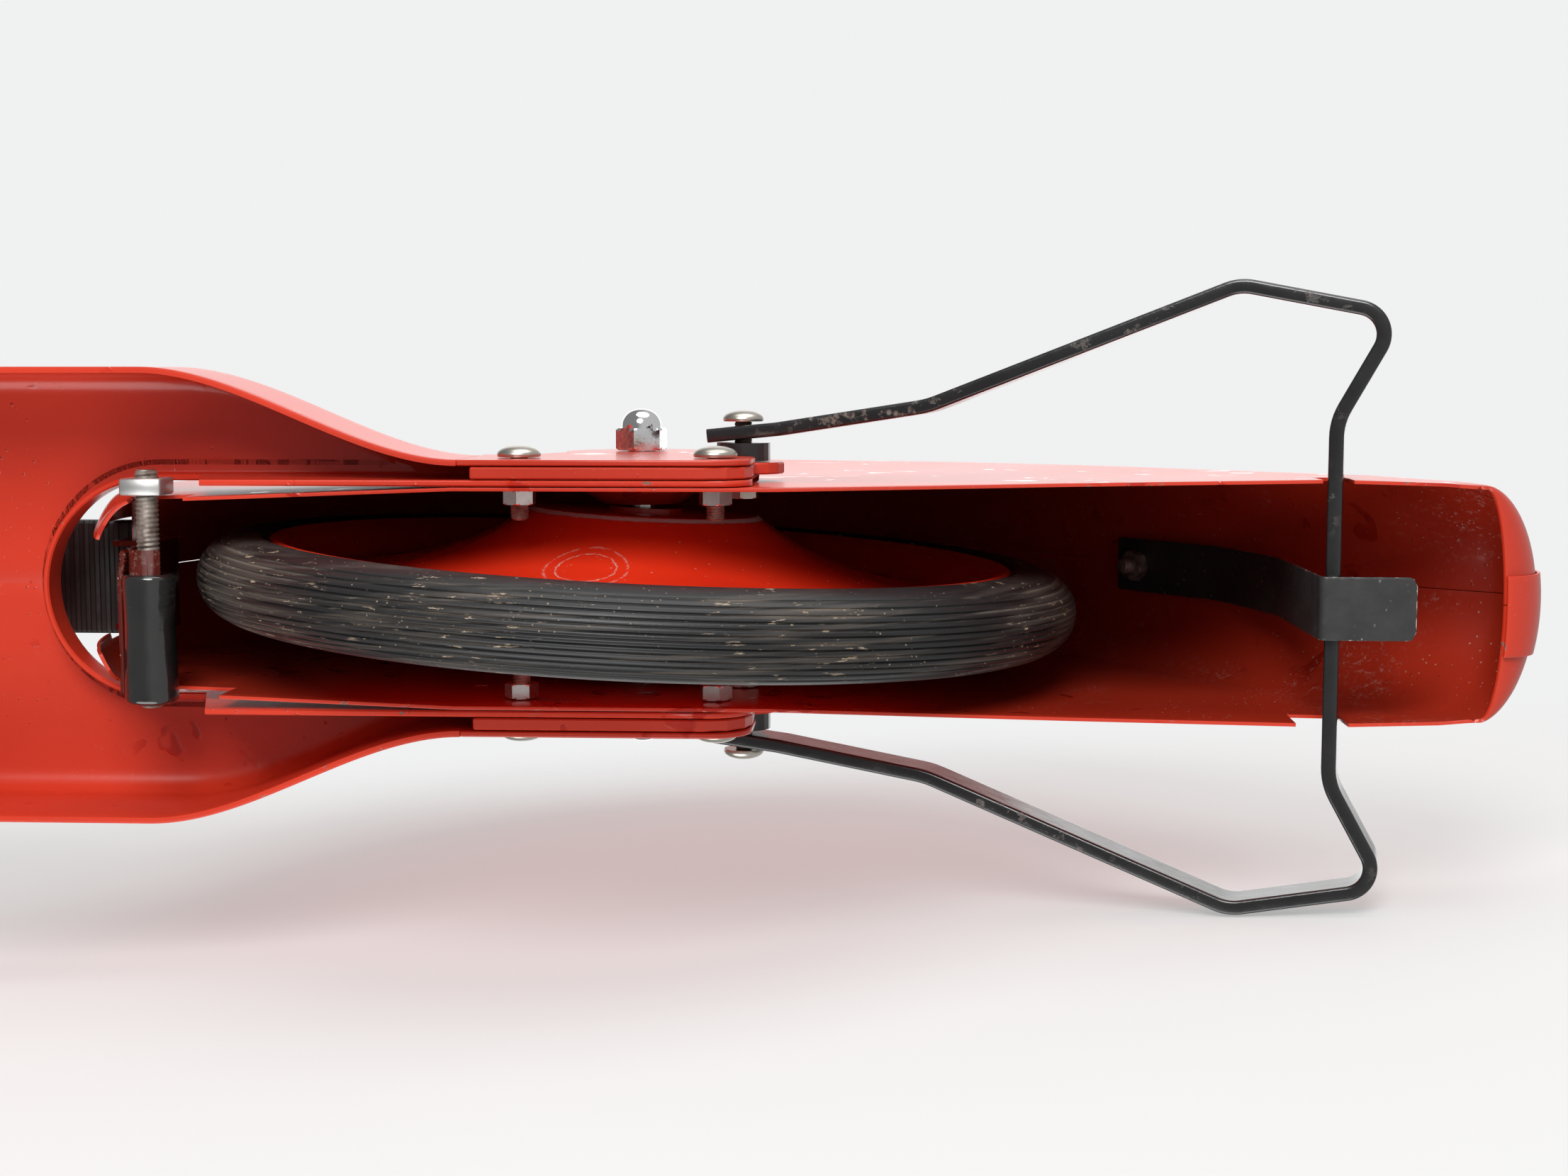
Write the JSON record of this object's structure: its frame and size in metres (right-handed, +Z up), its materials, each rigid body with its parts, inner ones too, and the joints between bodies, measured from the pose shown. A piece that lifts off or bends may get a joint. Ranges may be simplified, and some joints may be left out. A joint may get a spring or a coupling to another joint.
{
  "type": "kick scooter",
  "caption": "Child's pressed-steel kick scooter: channel footboard, wide rear mudguard, pedal rear brake, fold-down bail stand and swept handlebar.",
  "frame": {"origin": "middle of the bounding box at the ground under the wheels", "axes": "+X forward along the footboard, +Y to the rider's left, +Z up"},
  "size_m": [1.1031, 0.406, 0.816],
  "materials": {
    "red_enamel": "old glossy red enamel with orange peel, drips and chips",
    "tyre_rubber": "dusty grey-black solid rubber",
    "zinc": "bright zinc plate, lightly tarnished",
    "dull_nickel": "dull nickel plate",
    "black_enamel": "worn gloss black enamel",
    "spring_steel": "dark scuffed spring steel",
    "black_rubber": "black rubber, glossy",
    "chrome": "bright chrome plate"
  },
  "bodies": {
    "frame": {"deck": "red_enamel", "dropout_plate_left": "red_enamel", "dropout_plate_right": "red_enamel", "mudguard_left": "red_enamel", "mudguard_right": "red_enamel", "mudguard_seam_strip": "red_enamel", "rear_axle": "zinc", "rear_axle_nut_left": "zinc", "rear_axle_nut_right": "zinc", "rear_axle_spacer_left": "red_enamel", "rear_axle_spacer_right": "zinc", "arm_bolt_front_left": "dull_nickel", "arm_bolt_front_right": "dull_nickel", "arm_bolt_rear_left": "dull_nickel", "arm_bolt_rear_right": "dull_nickel", "arm_nut_front_left": "zinc", "arm_nut_front_right": "zinc", "arm_nut_rear_left": "zinc", "arm_nut_rear_right": "zinc", "stand_bolt_left": "dull_nickel", "stand_bolt_right": "dull_nickel", "stand_nut_left": "dull_nickel", "stand_nut_right": "dull_nickel", "stand_spacer_left": "black_enamel", "stand_spacer_right": "black_enamel", "stand_clip": "spring_steel", "stand_clip_bolt": "dull_nickel", "stand_clip_nut": "zinc", "brake_pin": "zinc", "brake_spring": "spring_steel", "head_tube": "red_enamel", "lower_bearing_cup": "chrome", "upper_bearing_cup": "chrome", "deck_mat": "black_rubber"},
    "rear_wheel": {"rear_hub": "red_enamel", "rear_wheel_disc_left": "red_enamel", "rear_wheel_disc_right": "red_enamel", "rear_tyre": "tyre_rubber"},
    "stand": {"stand": "black_enamel"},
    "brake": {"brake_lever": "red_enamel", "brake_bolt": "zinc", "brake_block": "black_rubber", "brake_square_nut": "zinc", "brake_pedal_rubber": "black_rubber"},
    "steering": {"fork": "red_enamel", "head_lock_nut": "chrome", "stem": "chrome", "handlebar": "chrome", "grip_left": "black_rubber", "grip_right": "black_rubber", "front_axle": "zinc", "front_axle_nut_left": "zinc", "front_axle_nut_right": "zinc", "front_mudguard": "red_enamel", "front_mudguard_bolt": "dull_nickel"},
    "front_wheel": {"front_hub": "red_enamel", "front_wheel_disc_left": "red_enamel", "front_wheel_disc_right": "red_enamel", "front_tyre": "tyre_rubber"}
  },
  "joints": [
    {"name": "rear_wheel_spin", "type": "hinge", "parent": "frame", "child": "rear_wheel", "pos_m": [-0.30752, -0.003, 0.127], "axis": [-0.0523, 0.9986, 0], "continuous": true},
    {"name": "stand_swing", "type": "hinge", "parent": "frame", "child": "stand", "pos_m": [-0.33952, 0, 0.098], "axis": [0, -1, 0], "range_deg": [0, 95], "deforming": ["stand_clip"]},
    {"name": "brake_pedal", "type": "hinge", "parent": "frame", "child": "brake", "pos_m": [-0.16752, 0, 0.098], "axis": [0, 1, 0], "range_deg": [0, 8], "stiffness_Nm_per_rad": 2, "springref_deg": -14.32, "deforming": ["brake_spring"]},
    {"name": "steering", "type": "hinge", "parent": "frame", "child": "steering", "pos_m": [0.3835, 0, 0.11923], "axis": [-0.2588, 0, 0.9659], "range_deg": [-40, 40]},
    {"name": "front_wheel_spin", "type": "hinge", "parent": "steering", "child": "front_wheel", "pos_m": [0.41248, 0, 0.127], "axis": [0, 1, 0], "continuous": true}
  ]
}
